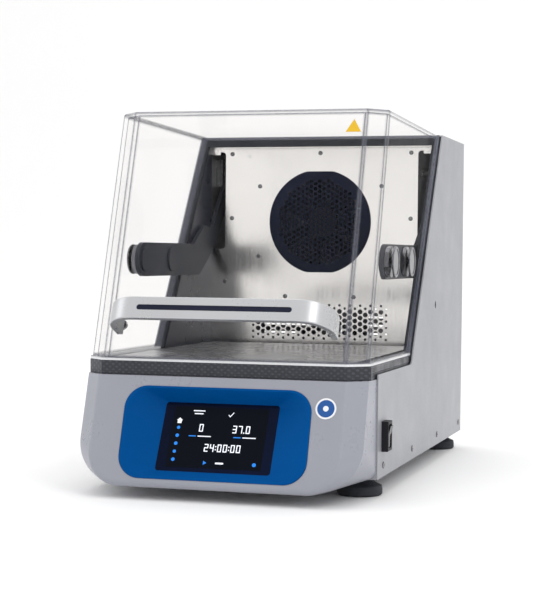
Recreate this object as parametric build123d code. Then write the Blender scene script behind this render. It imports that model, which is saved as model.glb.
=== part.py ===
"""Benchtop incubated orbital shaker with a clear hinged lid.

Lengths in millimetres.  +Z is up, the front faces -Y, X runs across.
Every piece is first placed in a working frame whose Y starts at the front
edge of the side panels and whose Z starts on the bench, and is then moved
so that the origin lies under the middle of the whole machine.
"""
import os
from math import atan, cos, radians, sin, sqrt, tan

from build123d import *

os.makedirs("parts", exist_ok=True)

# ---- driving dimensions ----------------------------------------------------
HALF_W = 195.0            # outer faces of the side panels
SHEET = 2.0               # painted steel sheet
FOOT_H = 26.0             # bench to underside of the base
LEDGE_Z = 161.0           # top of the low front part of the side panels
TOP_Z = 498.5             # top of the rear housing
LID_TOP = (507.0, 498.5)  # top of the lid at its front and at its rear edge
NOTCH_Y = 216.0           # where the sloping edge leaves the ledge
TOP_FRONT_Y = 435.0       # front edge of the rear housing's top
REAR_Y = 631.0            # outer face of the rear panel
ORIGIN_Y = 267.0          # middle of the whole machine, front to back
ORIGIN_X = 4.88           # middle of the whole machine, left to right

FRONT_LEAN = 18.0         # lean of the lid's front wall and of the cover's face
COVER_FRONT_Y = -54.5     # front of the cover at its top edge
CHAMBER_X = 180.0         # inner half width of the chamber
WALL_Y = 442.0            # front face of the chamber's back wall
LINER = 1.5               # stainless sheet
CEILING_Z = 483.0         # underside of the chamber's top edge
DECK_Z = 150.0            # top of the chamber floor

GASKET_TOP = 173.0        # top of the gasket that the lid sits on
GASKET_BOTTOM = 155.0
SEAM_GASKET = 6.0         # thickness of the gasket on the sloping seam
SEAL_GAP = 0.4            # gap between the closed lid and its gaskets

LID_HALF_W = 188.5
LID_WALL = 4.5
LID_FRONT_Y = -45.8       # lid's front wall at the lid's lower edge
ROOF_EDGE_R = 3.8         # rounding along the lid's top edges
LID_BEVEL_X = 25.0
LID_BEVEL_Y = 23.0

PIVOT = (525.0, 446.0)    # lid hinge axis, (y, z)
ARM_Z = 305.0             # height of the arms' clamp bolts, lid closed
ARM_BOLT_Y = (124.0, 234.0)
ARM_X = (171.5, 177.5)    # the arm plate's inner and outer face
HINGE_SHAFT_R = 8.0

FAN_Z = 365.5             # fan axis height
FAN_GRILLE_R = 82.0
FAN_OPENING_R = 74.0      # opening in the back wall behind the grille

PLATFORM = (330.0, 410.0, 6.0)
PLATFORM_TOP = 176.0
DRIVE_Y = 197.0           # drive shaft axis and middle of the platform
ECCENTRICITY = 9.5        # half of the 19 mm orbit
IDLER_XY = (118.0, 142.0) # idlers, measured from the drive shaft
MOTOR_Y = 520.0
PULLEY_R = 75.0
MOTOR_PULLEY_R = 25.0
RUN = 0.05                # running clearance on a radius

SLOPE = tan(radians(FRONT_LEAN))
SEAM_RUN = (TOP_FRONT_Y - NOTCH_Y) / (TOP_Z - LEDGE_Z)
SEAM_ANGLE = atan(SEAM_RUN)
FAR = 800.0               # size of cutting blocks


# ---- small helpers -----------------------------------------------------------
def block(x0, x1, y0, y1, z0, z1):
    return Pos((x0 + x1) / 2, (y0 + y1) / 2, (z0 + z1) / 2) * Box(x1 - x0, y1 - y0, z1 - z0)


def rod_z(x, y, z0, z1, r):
    return Pos(x, y, (z0 + z1) / 2) * Cylinder(r, z1 - z0)


def rod_x(x0, x1, y, z, r):
    return Pos((x0 + x1) / 2, y, z) * Rot(0, 90, 0) * Cylinder(r, x1 - x0)


def rod_y(y0, y1, x, z, r):
    return Pos(x, (y0 + y1) / 2, z) * Rot(90, 0, 0) * Cylinder(r, y1 - y0)


def polygon(*points):
    return make_face(Polyline(*points, close=True))


def side_prism(points, x0, x1):
    """A (y, z) outline, extruded across from x0 to x1."""
    return extrude(Plane.YZ.offset(x0) * polygon(*points), x1 - x0)


def face_prism(face, x0, x1):
    return extrude(Plane.YZ.offset(x0) * face, x1 - x0)


def span(a, b):
    return min(a, b), max(a, b)


def mirrored(shape):
    return mirror(shape, about=Plane.YZ)


def group(shapes):
    return Compound(children=list(shapes))


def seam_y(z, behind=0.0):
    """The sloping seam at height z, moved back by a distance square to it."""
    return NOTCH_Y + (z - LEDGE_Z) * SEAM_RUN + behind / cos(SEAM_ANGLE)


def behind_seam(distance):
    """Everything on the housing's side of the sloping seam."""
    low, high = -100.0, 700.0
    points = [(seam_y(low, distance), low), (FAR + 200, low),
              (FAR + 200, high), (seam_y(high, distance), high)]
    return side_prism(points, -FAR / 2, FAR / 2)


def lid_front_y(z):
    return LID_FRONT_Y + (z - GASKET_TOP) * SLOPE


def cover_face_y(z):
    return COVER_FRONT_Y - (GASKET_BOTTOM - z) * SLOPE


def bay_outline(half_w, front, rear, bevel_x, bevel_y):
    """Plan outline with two bevelled front corners."""
    return [(-half_w, rear), (-half_w, front + bevel_y), (-half_w + bevel_x, front),
            (half_w - bevel_x, front), (half_w, front + bevel_y), (half_w, rear)]


def leaning_bay(half_w, front_at, rear, z0, z1, bevel_x, bevel_y):
    """A bay whose front leans back with height."""
    sections = []
    for z in (z0, z1):
        outline = bay_outline(half_w, front_at(z), rear, bevel_x, bevel_y)
        sections.append(Plane.XY.offset(z) * polygon(*outline))
    return loft(sections, ruled=True)


def upright_bay(half_w, front, rear, z0, z1, bevel_x, bevel_y):
    outline = bay_outline(half_w, front, rear, bevel_x, bevel_y)
    return extrude(Plane.XY.offset(z0) * polygon(*outline), z1 - z0)


def pan_screw(r, head, shank_r, shank):
    """A cross-recessed screw on +Z, seated at z = 0."""
    body = Pos(0, 0, head / 2) * Cylinder(r, head)
    body = fillet(body.edges().group_by(Axis.Z)[-1], head * 0.6)
    recess = Box(r, r * 0.28, head) + Box(r * 0.28, r, head)
    body -= Pos(0, 0, head) * recess
    return body + Pos(0, 0, -shank / 2) * Cylinder(shank_r, shank)


pieces = {}


# ---- housing -----------------------------------------------------------------
def side_panel():
    outline = polygon((0, FOOT_H), (REAR_Y, FOOT_H), (REAR_Y, TOP_Z),
                      (TOP_FRONT_Y, TOP_Z), (NOTCH_Y, LEDGE_Z), (0, LEDGE_Z))
    corner = outline.vertices().sort_by(lambda v: abs(v.X - NOTCH_Y) + abs(v.Y - LEDGE_Z))[0]
    outline = fillet(corner, 16)
    return face_prism(outline, HALF_W - SHEET, HALF_W)


SWITCH_Y = (22.0, 47.0)
SWITCH_Z = (60.0, 99.0)
SWITCH_PROUD = 9.0
PORT = (392.0, 240.0)     # small six-sided opening in both side panels, (y, z)
PORT_R = 6.0

port = extrude(Plane.YZ.offset(HALF_W - 5) * Pos(*PORT) * RegularPolygon(PORT_R, 6), 10)
panel = side_panel() - port
pieces["side_panel_left"] = mirrored(panel)
pieces["side_panel_right"] = panel - block(HALF_W - 5, HALF_W + 5, *SWITCH_Y, *SWITCH_Z)

INNER_X = HALF_W - SHEET
base = block(-INNER_X, INNER_X, 0, REAR_Y - SHEET, FOOT_H, FOOT_H + SHEET)
base += block(-INNER_X, INNER_X, 0, SHEET, FOOT_H, GASKET_BOTTOM - 8)
base -= block(-80, 80, -1, SHEET + 1, 70, 120)
FEET = [(sx * 161.0, y) for sx in (-1, 1) for y in (47.0, 590.0)]
FOOT_BOLT_R = 4.0
for x, y in FEET:
    base -= rod_z(x, y, FOOT_H - 1, FOOT_H + SHEET + 1, FOOT_BOLT_R)
for x in (-150, -130, -110, 110, 130, 150):
    base -= block(x - 1.8, x + 1.8, 440, 500, FOOT_H - 1, FOOT_H + SHEET + 1)
pieces["base_pan"] = base

INLET_X, INLET_Z = 128.0, 78.0
rear = block(-INNER_X, INNER_X, REAR_Y - SHEET, REAR_Y, FOOT_H, TOP_Z - SHEET)
rear -= block(INLET_X - 24, INLET_X + 24, REAR_Y - 5, REAR_Y + 5, INLET_Z - 14, INLET_Z + 14)
for row in range(9):
    z = 180 + row * 14
    for side in (-1, 1):
        rear -= block(side * 90 - 55, side * 90 + 55, REAR_Y - 5, REAR_Y + 5, z, z + 3.4)
pieces["rear_panel"] = rear

top = block(-INNER_X, INNER_X, 400, REAR_Y, TOP_Z - SHEET, TOP_Z) & behind_seam(0)
pieces["top_panel"] = top

foot_profile = make_face(Polyline(
    (FOOT_BOLT_R, 6), (FOOT_BOLT_R, FOOT_H), (17, FOOT_H), (18, 19), (23, 15), (29, 12.5),
    (30, 9), (30, 2), (28, 0), (0, 0), (0, 6), close=True))
foot = revolve(Plane.XZ * foot_profile, Axis.Z)
pieces["rubber_feet"] = group([Pos(x, y, 0) * foot for x, y in FEET])

side_screw = Rot(0, 90, 0) * pan_screw(4.5, 1.4, 1.8, 6)
screw_holes = []
screws = []
for y in (34.0, 223.0, 415.0, 607.0):
    placed = Pos(HALF_W, y, 41.5) * side_screw
    screws += [placed, mirrored(placed)]
    screw_holes.append(rod_x(HALF_W - 5, HALF_W + 1, y, 41.5, 1.8))
pieces["side_screws"] = group(screws)
for hole in screw_holes:
    pieces["side_panel_right"] -= hole
    pieces["side_panel_left"] -= mirrored(hole)


# ---- front cover and display ---------------------------------------------------
COVER_WALL = 3.0
COVER_LOW = 14.0          # underside of the cover's front edge above the bench
# each outline: half width, underside, corner radius, distance behind the face
COVER_OUTLINES = ((166.0, COVER_LOW, 50.0, 0.0), (190.0, COVER_LOW + 2.0, 60.0, 23.0))
COVER_SEAM = (193.0, FOOT_H, 12.0)
COVER_EDGE = 8.0          # rounding of the cover's lower front edge
BEZEL = (250.0, 121.0)
BEZEL_Z = 85.0
GLASS = (153.0, 95.0, 3.0)
GLASS_LEAN = 28.6
GLASS_CENTRE = (-62.8, 78.8)


def cover_outline(half_w, bottom, radius, lean, y_at_top):
    """A face with two rounded lower corners, leaning forward from its top edge."""
    stretch = 1 / cos(radians(lean))
    top = GASKET_BOTTOM
    plane = Plane(origin=(0, y_at_top, top), x_dir=(1, 0, 0),
                  z_dir=(0, -cos(radians(lean)), sin(radians(lean))))
    depth = (top - bottom) * stretch
    face = polygon((-half_w, 0), (half_w, 0), (half_w, -depth), (-half_w, -depth))
    return plane * fillet(face.vertices().group_by(Axis.Y)[0], radius)


def cover_body(inset):
    """The cover's outer form, or its inside when inset is the wall."""
    faces = []
    for half_w, bottom, radius, back in COVER_OUTLINES:
        y = cover_face_y(GASKET_BOTTOM) + back + inset * 1.1
        faces.append(cover_outline(half_w - inset, bottom + inset, radius - inset, FRONT_LEAN, y))
    half_w, bottom, radius = COVER_SEAM
    faces.append(cover_outline(half_w - inset, bottom + inset, radius - inset, 0, 0))
    body = loft(faces, ruled=True)
    if inset:
        body -= block(-FAR, FAR, -FAR, FAR, GASKET_BOTTOM - inset, GASKET_BOTTOM + 50)
    front_edges = body.edges().sort_by(lambda edge: edge.center().Y)[:3]
    return fillet(front_edges, COVER_EDGE - inset)


cover = cover_body(0) - Pos(0, 0.01, 0) * cover_body(COVER_WALL)
bezel_plane = Plane(origin=(0, cover_face_y(BEZEL_Z), BEZEL_Z), x_dir=(1, 0, 0),
                    z_dir=(0, -cos(radians(FRONT_LEAN)), sin(radians(FRONT_LEAN))))
window = extrude(bezel_plane * RectangleRounded(*BEZEL, 30), 40, both=True)
cover -= block(-CHAMBER_X - 2, CHAMBER_X + 2, -38.5, 5, 140, GASKET_BOTTOM + 5)
pieces["front_cover"] = cover - window

glass_plane = Plane(origin=(0, *GLASS_CENTRE), x_dir=(1, 0, 0),
                    z_dir=(0, -cos(radians(GLASS_LEAN)), sin(radians(GLASS_LEAN))))
dish_out = loft([bezel_plane.offset(0.6) * RectangleRounded(*BEZEL, 30),
                 glass_plane.offset(-5) * RectangleRounded(GLASS[0] + 12, GLASS[1] + 12, 9)])
dish_in = loft([bezel_plane.offset(2) * RectangleRounded(BEZEL[0] - 4, BEZEL[1] - 4, 28),
                glass_plane * RectangleRounded(GLASS[0], GLASS[1], 4)])
glass_seat = extrude(glass_plane.offset(-8) * RectangleRounded(GLASS[0], GLASS[1], 4), 8.01)
pieces["display_bezel"] = dish_out - dish_in - glass_seat
screen = extrude(glass_plane.offset(-GLASS[2]) * RectangleRounded(GLASS[0], GLASS[1], 4), GLASS[2])
pieces["touchscreen"] = screen + extrude(glass_plane.offset(-14) * Rectangle(146, 89), 14 - GLASS[2])

board = block(-85, 85, 12, 13.6, 64, 138)
for x, z, w, h, d in ((-50, 118, 22, 22, 3), (20, 112, 34, 16, 9), (55, 82, 18, 26, 12),
                      (-20, 84, 26, 18, 4), (-66, 80, 12, 20, 14)):
    board += block(x - w / 2, x + w / 2, 13.6, 13.6 + d, z - h / 2, z + h / 2)
for x in (-78, 78):
    for z in (68, 134):
        board += rod_y(SHEET, 12, x, z, 3)
pieces["control_board"] = board

LABEL_R = 13.5
LABEL_AT = (143.0, 121.5)
label_plane = Plane(origin=(LABEL_AT[0], cover_face_y(LABEL_AT[1]), LABEL_AT[1]), z_dir=bezel_plane.z_dir)
pieces["round_label"] = extrude(label_plane * Circle(LABEL_R), 0.5)


# ---- chamber ---------------------------------------------------------------------
gasket = upright_bay(191, -48.5, 400, GASKET_BOTTOM, GASKET_TOP, 26, 24)
gasket -= upright_bay(CHAMBER_X, -37, 420, GASKET_BOTTOM - 1, GASKET_TOP + 1, 23, 21)
pieces["base_gasket"] = gasket - behind_seam(0)

seam_low = LEDGE_Z - 4
seam_high = TOP_Z - SHEET
frame_band = side_prism([(seam_y(seam_low), seam_low), (seam_y(seam_high), seam_high),
                         (seam_y(seam_high, SEAM_GASKET), seam_high),
                         (seam_y(seam_low, SEAM_GASKET), seam_low)], -INNER_X, INNER_X)
frame_band -= block(-CHAMBER_X, CHAMBER_X, 0, REAR_Y, 0, CEILING_Z)
pieces["seam_gasket"] = frame_band

tray = upright_bay(CHAMBER_X - 0.1, -36.9, WALL_Y - 0.1, DECK_Z - SHEET, 167, 23, 21)
tray -= upright_bay(CHAMBER_X - 1.6, -35.4, WALL_Y + 50, DECK_Z, 200, 22.4, 20.4)
tray -= rod_z(0, DRIVE_Y, DECK_Z - 5, DECK_Z + 5, 34)
IDLERS = [(side * IDLER_XY[0], DRIVE_Y + side * IDLER_XY[1]) for side in (-1, 1)]
for x, y in IDLERS:
    tray -= rod_z(x, y, DECK_Z - 5, DECK_Z + 5, 22)
pieces["chamber_floor"] = tray

wall_side = side_prism([(seam_y(DECK_Z, SEAM_GASKET + 0.5), DECK_Z), (WALL_Y, DECK_Z), (WALL_Y, CEILING_Z),
                        (seam_y(CEILING_Z, SEAM_GASKET + 0.5), CEILING_Z)], CHAMBER_X, CHAMBER_X + LINER)
pieces["chamber_wall_right"] = wall_side
pieces["chamber_wall_left"] = mirrored(wall_side)
ceiling_front = seam_y(CEILING_Z + LINER, SEAM_GASKET + 0.5)
pieces["chamber_ceiling"] = block(-CHAMBER_X - LINER, CHAMBER_X + LINER, ceiling_front, WALL_Y,
                                  CEILING_Z, CEILING_Z + LINER)

# back wall: fan opening, arm slots and a perforated return-air field
SLOT_X = (156.0, 180.0)
SLOT_Z = (322.0, 476.0)
HOLE_PITCH = 9.6
HOLE_R = 3.75
EDGE_HOLE_R = 2.0
VENT_COLUMNS = 27
VENT_ROWS = 6
VENT_LOW = 182.0


def vent_holes():
    """Staggered rows of holes with smaller holes along the field's border."""
    holes = []
    column_step = HOLE_PITCH * sqrt(3) / 2
    for column in range(VENT_COLUMNS):
        x = (column - (VENT_COLUMNS - 1) / 2) * column_step
        lift = HOLE_PITCH / 2 * (column % 2)
        for row in range(VENT_ROWS):
            on_border = column in (0, VENT_COLUMNS - 1) or row in (0, VENT_ROWS - 1)
            r = EDGE_HOLE_R if on_border else HOLE_R
            holes.append(Pos(x, VENT_LOW + row * HOLE_PITCH + lift) * Circle(r))
    return holes


wall_plane = Plane(origin=(0, WALL_Y + LINER, 0), x_dir=(1, 0, 0), z_dir=(0, -1, 0))
wall_face = Pos(0, (DECK_Z + CEILING_Z + LINER) / 2) * Rectangle(2 * CHAMBER_X + 2 * LINER,
                                                                 CEILING_Z + LINER - DECK_Z)
wall_face -= Pos(0, FAN_Z) * Circle(FAN_OPENING_R)
for hole in vent_holes():
    wall_face -= hole
slot_centre = ((SLOT_X[0] + SLOT_X[1]) / 2, (SLOT_Z[0] + SLOT_Z[1]) / 2)
for side in (-1, 1):
    slot = Rectangle(SLOT_X[1] - SLOT_X[0], SLOT_Z[1] - SLOT_Z[0])
    slot = fillet(slot.vertices(), 5)
    wall_face -= Pos(side * slot_centre[0], slot_centre[1]) * slot
WALL_SCREWS = [(0, 473.5)]
for x, z in ((145, 473), (98.6, 421.6), (145, 371), (99.9, 311), (155.5, 270), (55.7, 248)):
    WALL_SCREWS += [(-x, z), (x, z)]
WALL_SCREW_R = 1.5
for x, z in WALL_SCREWS:
    wall_face -= Pos(x, z) * Circle(WALL_SCREW_R)
PROBE = (-117.0, 469.5)
wall_face -= Pos(*PROBE) * Circle(2.0)
pieces["chamber_back_wall"] = extrude(wall_plane * wall_face, LINER)

wall_screw = Rot(90, 0, 0) * pan_screw(3.4, 2.0, WALL_SCREW_R, 8)
pieces["wall_screws"] = group([Pos(x, WALL_Y, z) * wall_screw for x, z in WALL_SCREWS])

clip = block(164.5, 178.5, WALL_Y - 1.2, WALL_Y, 471.5, 482)
clip += rod_y(WALL_Y - 3, WALL_Y - 1.2, 171.5, 477.2, 3)
pieces["slot_clips"] = group([clip, mirrored(clip)])

# fan grille: round plate with flats at top and bottom and a fine staggered mesh
MESH_PITCH = 8.0
MESH_R = 3.1
grille_face = Circle(FAN_GRILLE_R) & Rectangle(400, 2 * 79.3)
mesh_reach = FAN_OPENING_R - 7
mesh = []
for column in range(-12, 13):
    for row in range(-12, 13):
        x = column * MESH_PITCH * sqrt(3) / 2
        z = row * MESH_PITCH + MESH_PITCH / 2 * (column % 2)
        if x * x + z * z < mesh_reach ** 2:
            mesh.append(Pos(x, z) * RegularPolygon(MESH_R, 6))
grille_face -= mesh
grille_plane = Plane(origin=(0, WALL_Y, FAN_Z), x_dir=(1, 0, 0), z_dir=(0, -1, 0))
pieces["fan_grille"] = extrude(grille_plane * grille_face, 1.6)

IMPELLER_Y = (456.0, 478.0)
impeller = rod_y(*IMPELLER_Y, 0, FAN_Z, 24)
BLADES = 7
for index in range(BLADES):
    blade = Pos(45, 0, 0) * Rot(38, 0, 0) * Box(50, 2.2, 24)
    placed = Rot(0, index * 360 / BLADES, 0) * blade
    impeller += Pos(0, sum(IMPELLER_Y) / 2, FAN_Z) * placed
impeller += rod_y(IMPELLER_Y[1] - 5, 500, 0, FAN_Z, 4)
pieces["fan_impeller"] = impeller

motor = rod_y(482, 532, 0, FAN_Z, 35) - rod_y(480, 503, 0, FAN_Z, 4 + RUN)
motor = fillet(motor.edges().filter_by(GeomType.CIRCLE).group_by(Axis.Y)[-1], 4)
pieces["fan_motor"] = motor

bracket = block(-120, 120, 504, 507, FAN_Z - 22, FAN_Z + 22) - rod_y(500, 512, 0, FAN_Z, 35)
for side in (-1, 1):
    x = side * 118.5
    bracket += block(x - 1.5, x + 1.5, WALL_Y + LINER, 507, FAN_Z - 22, FAN_Z + 22)
pieces["fan_bracket"] = bracket

heater = Pos(0, WALL_Y + LINER + 4, FAN_Z) * Rot(90, 0, 0) * Torus(79, 4)
pieces["heater_element"] = heater
pieces["temperature_probe"] = rod_y(WALL_Y - 7, WALL_Y + 20, *PROBE, 2.0)


# ---- lid ---------------------------------------------------------------------------
LID_LOW = GASKET_TOP + SEAL_GAP
RIM = 4.0


def lid_bay(inset, z0, z1):
    slant = inset / cos(radians(FRONT_LEAN))
    return leaning_bay(LID_HALF_W - inset, lambda z: lid_front_y(z) + slant, 620,
                       z0, z1, LID_BEVEL_X, LID_BEVEL_Y)


def lid_roof(inset):
    """Everything above the lid's gently sloping top."""
    front, rear = (60.0, LID_TOP[0] - inset), (TOP_FRONT_Y, LID_TOP[1] - inset)
    fall = (rear[1] - front[1]) / (rear[0] - front[0])
    ends = [(y, front[1] + (y - front[0]) * fall) for y in (-100.0, 640.0)]
    return side_prism([ends[0], ends[1], (640, 700), (-100, 700)], -FAR / 2, FAR / 2)


outer = lid_bay(0, LID_LOW, LID_TOP[0] + 5) - lid_roof(0)
roof_edges = [edge for edge in outer.edges() if edge.bounding_box().min.Z > 480 and edge.center().Y < 600]
outer = fillet(roof_edges, ROOF_EDGE_R)
inner = lid_bay(LID_WALL, LID_LOW - 20, LID_TOP[0] + 5) - lid_roof(LID_WALL)
shell = outer - inner
rim = lid_bay(-2, LID_LOW, LID_LOW + RIM) - lid_bay(LID_WALL, LID_LOW - 20, LID_LOW + 60)
shell += rim
rear_flange = block(-190.5, 190.5, 150, 500, LID_LOW, 520) & behind_seam(-SEAL_GAP - RIM)
rear_flange -= inner + lid_roof(0)
shell += rear_flange
shell -= behind_seam(-SEAL_GAP)

# hinge arms, in the (y, z) plane
ARM_HALF = 24.0
LINK_HALF = 14.5
link_dir = Vector(PIVOT[0] - WALL_Y, PIVOT[1] - 352, 0).normalized()
link_side = Vector(-link_dir.Y, link_dir.X, 0) * LINK_HALF
link_foot = Vector(WALL_Y - 4, 352 - 4 * link_dir.Y / link_dir.X, 0)
pivot = Vector(*PIVOT, 0)
arm_points = [(ARM_BOLT_Y[0], ARM_Z + ARM_HALF), (336, ARM_Z + ARM_HALF), (384, 358),
              tuple(link_foot + link_side)[:2], tuple(pivot + link_side)[:2],
              tuple(pivot - link_side)[:2], tuple(link_foot - link_side)[:2],
              (414, 312), (362, ARM_Z - ARM_HALF), (ARM_BOLT_Y[0], ARM_Z - ARM_HALF)]
arm_face = polygon(*arm_points)
bends = [v for v in arm_face.vertices() if 300 < v.X < 450]
arm_face = fillet(bends, 14)
arm_face += Pos(ARM_BOLT_Y[0], ARM_Z) * Circle(ARM_HALF)
arm_face += Pos(*PIVOT) * Circle(22)
arm_face -= Pos(*PIVOT) * Circle(HINGE_SHAFT_R)
BOLT_R = 6.0
for y in ARM_BOLT_Y:
    arm_face -= Pos(y, ARM_Z) * Circle(BOLT_R)
arm = face_prism(arm_face, *ARM_X)
pieces["hinge_arm_right"] = arm
pieces["hinge_arm_left"] = mirrored(arm)

INNER_FACE = LID_HALF_W - LID_WALL
CAP_R = 21.0
BOLT_HEAD_R = 17.5
CAP_OUT = 191.0
bushes, caps, bolts = [], [], []
for y in ARM_BOLT_Y:
    bush = rod_x(ARM_X[1], INNER_FACE, y, ARM_Z, CAP_R) - rod_x(160, 200, y, ARM_Z, BOLT_R)
    cap = rod_x(LID_HALF_W, CAP_OUT, y, ARM_Z, CAP_R)
    cap = fillet(cap.edges().filter_by(GeomType.CIRCLE).group_by(Axis.X)[-1], 1.0)
    cap -= rod_x(CAP_OUT - 0.8, CAP_OUT + 1, y, ARM_Z, CAP_R - 3.0)
    cap -= rod_x(160, LID_HALF_W + 1, y, ARM_Z, BOLT_R)
    bolt = rod_x(ARM_X[0], LID_HALF_W + 1, y, ARM_Z, BOLT_R)
    bolt += rod_x(ARM_X[0] - 2.5, ARM_X[0], y, ARM_Z, BOLT_HEAD_R)
    bolt = fillet(bolt.edges().filter_by(GeomType.CIRCLE).group_by(Axis.X)[0], 1.2)
    bushes += [bush, mirrored(bush)]
    caps += [cap, mirrored(cap)]
    bolts += [bolt, mirrored(bolt)]
    hole = rod_x(150, 200, y, ARM_Z, BOLT_R)
    shell = shell - hole - mirrored(hole)
pieces["arm_bushes"] = group(bushes)
pieces["clamp_caps"] = group(caps)
pieces["clamp_bolts"] = group(bolts)

# handle: a flat band bent to a C, sloping down to the lid's front wall
HANDLE_HALF = 150.0
HANDLE_T = 9.0
HANDLE_BAND = 29.5
HANDLE_DIP = 24.0
HANDLE_FRONT = (-85.0, 245.0)
HANDLE_BEND = 42.0
dip = radians(HANDLE_DIP)
handle_plane = Plane(origin=(0, *HANDLE_FRONT), x_dir=(1, 0, 0), z_dir=(0, sin(dip), cos(dip)))


def u_face(half, front, reach, radius):
    face = polygon((-half, front), (half, front), (half, reach), (-half, reach))
    return fillet(face.vertices().group_by(Axis.Y)[0], radius)


band = u_face(HANDLE_HALF, 0, 110, HANDLE_BEND)
band -= u_face(HANDLE_HALF - HANDLE_T, HANDLE_T, 120, HANDLE_BEND - HANDLE_T)
handle = extrude(handle_plane * band, HANDLE_BAND / 2, both=True)
handle = fillet(handle.edges().filter_by(GeomType.CIRCLE, reverse=True).filter_by(Axis.X), 1.5)
wall_block = side_prism([(lid_front_y(100), 100), (lid_front_y(400), 400), (500, 400), (500, 100)],
                        -FAR / 2, FAR / 2)
handle -= wall_block
INLAY = (206.0, 7.2, 2.0)
inlay_plane = Plane(origin=(0, *HANDLE_FRONT), x_dir=(1, 0, 0), z_dir=(0, -cos(dip), sin(dip)))
inlay_face = inlay_plane.offset(-INLAY[2]) * SlotOverall(INLAY[0], INLAY[1])
handle -= extrude(inlay_face, INLAY[2] + 1)
pieces["handle_inlay"] = extrude(inlay_face, INLAY[2] - 0.5)

reach = lid_front_y(HANDLE_FRONT[1]) - HANDLE_FRONT[0]
leg_length = reach / (cos(dip) + sin(dip) * SLOPE)
leg_x = HANDLE_HALF - HANDLE_T / 2
leg_z = HANDLE_FRONT[1] - leg_length * sin(dip)
wall_out = Vector(0, -cos(radians(FRONT_LEAN)), sin(radians(FRONT_LEAN)))
fixings = []
for side in (-1, 1):
    plane = Plane(origin=(side * leg_x, lid_front_y(leg_z), leg_z), z_dir=wall_out)
    shank = extrude(plane.offset(-LID_WALL) * Circle(2.5), LID_WALL + 9)
    head = extrude(plane.offset(-LID_WALL - 4) * Circle(6.5), 4)
    handle -= shank
    shell -= shank
    fixings.append(shank + head)
pieces["lid_handle"] = handle
pieces["handle_screws"] = group(fixings)
pieces["lid_shell"] = shell

MARKER_AT = (146.0, 481.0)
marker_origin = (MARKER_AT[0], lid_front_y(MARKER_AT[1]), MARKER_AT[1])
marker_plane = Plane(origin=marker_origin, x_dir=(1, 0, 0), z_dir=wall_out)
pieces["lid_marker"] = extrude(marker_plane * Rot(0, 0, 90) * RegularPolygon(12, 3), 0.5)

pieces["hinge_shaft"] = rod_x(-190, 190, *PIVOT, HINGE_SHAFT_R)
bearing = block(CHAMBER_X + LINER, INNER_X, PIVOT[0] - 22, PIVOT[0] + 22, PIVOT[1] - 22, PIVOT[1] + 22)
bearing -= rod_x(160, 200, *PIVOT, HINGE_SHAFT_R + RUN)
pieces["hinge_bearings"] = group([bearing, mirrored(bearing)])


# ---- shaking drive -------------------------------------------------------------------
PLATE_Z = (134.0, 140.0)
SHAFT_R = 10.0
PIN_R = 7.0
IDLER_SHAFT_R = 5.0
IDLER_PIN_R = 4.0
MAIN_BEARING_R = 30.0
IDLER_BEARING_R = 18.0
PIN_BEARING_R = 20.0      # bearing of the drive crank's pin, in the carrier
IDLER_PIN_BEARING_R = 13.0
WEB_Z = (149.5, 156.0)
CARRIER_Z = (158.0, 170.0)

plate = block(-150, 150, DRIVE_Y - 175, DRIVE_Y + 175, *PLATE_Z)
plate -= rod_z(0, DRIVE_Y, 120, 150, MAIN_BEARING_R)
for x, y in IDLERS:
    plate -= rod_z(x, y, 120, 150, IDLER_BEARING_R)
for side in (-1, 1):
    plate -= block(*span(side * 105, side * 150), DRIVE_Y - 70, DRIVE_Y + 70, 120, 150)
for x in (-140, 140):
    for y in (-165, 165):
        plate += rod_z(x, DRIVE_Y + y, FOOT_H + SHEET, PLATE_Z[0], 9)
pieces["drive_frame"] = plate

housing = rod_z(0, DRIVE_Y, 112, 140, MAIN_BEARING_R) + rod_z(0, DRIVE_Y, 140, 147, 42)
pieces["main_bearing"] = housing - rod_z(0, DRIVE_Y, 100, 160, SHAFT_R + RUN)
idler_bearing = rod_z(0, 0, 119, 147, IDLER_BEARING_R) - rod_z(0, 0, 110, 160, IDLER_SHAFT_R + RUN)
pieces["idler_bearings"] = group([Pos(x, y, 0) * idler_bearing for x, y in IDLERS])


def crank(shaft_r, shaft_low, web_r, pin_r):
    """Shaft, round web and a pin set off towards the front."""
    body = rod_z(0, 0, shaft_low, WEB_Z[0], shaft_r)
    body += rod_z(0, 0, *WEB_Z, web_r)
    return body + rod_z(0, -ECCENTRICITY, WEB_Z[1], CARRIER_Z[1] - 1.5, pin_r)


pieces["drive_crank"] = Pos(0, DRIVE_Y, 0) * crank(SHAFT_R, 56, 26, PIN_R)
for name, (x, y) in zip(("front", "rear"), IDLERS):
    pieces[f"idler_crank_{name}"] = Pos(x, y, 0) * crank(IDLER_SHAFT_R, 122, 17, IDLER_PIN_R)

weight = rod_z(0, DRIVE_Y, 94, 109, 84) & block(-100, 100, DRIVE_Y + 14, 400, 90, 120)
weight += rod_z(0, DRIVE_Y, 94, 109, 22)
weight -= rod_z(0, DRIVE_Y, 80, 120, SHAFT_R)


def pulley(r, bore, flange=4.0):
    body = rod_z(0, 0, 75.5, 90.5, r)
    body += rod_z(0, 0, 74, 75.5, r + flange) + rod_z(0, 0, 90.5, 92, r + flange)
    return body - rod_z(0, 0, 60, 100, bore)


wheel = Pos(0, DRIVE_Y, 0) * pulley(PULLEY_R, SHAFT_R)
for index in range(6):
    angle = radians(60 * index + 30)
    wheel -= rod_z(44 * cos(angle), DRIVE_Y + 44 * sin(angle), 60, 93, 15)
wheel += rod_z(0, DRIVE_Y, 92, 94, 22) - rod_z(0, DRIVE_Y, 90, 96, SHAFT_R)
pieces["driven_pulley"] = wheel + weight

BELT_GAP = 0.3
BELT_T = 2.6


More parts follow.
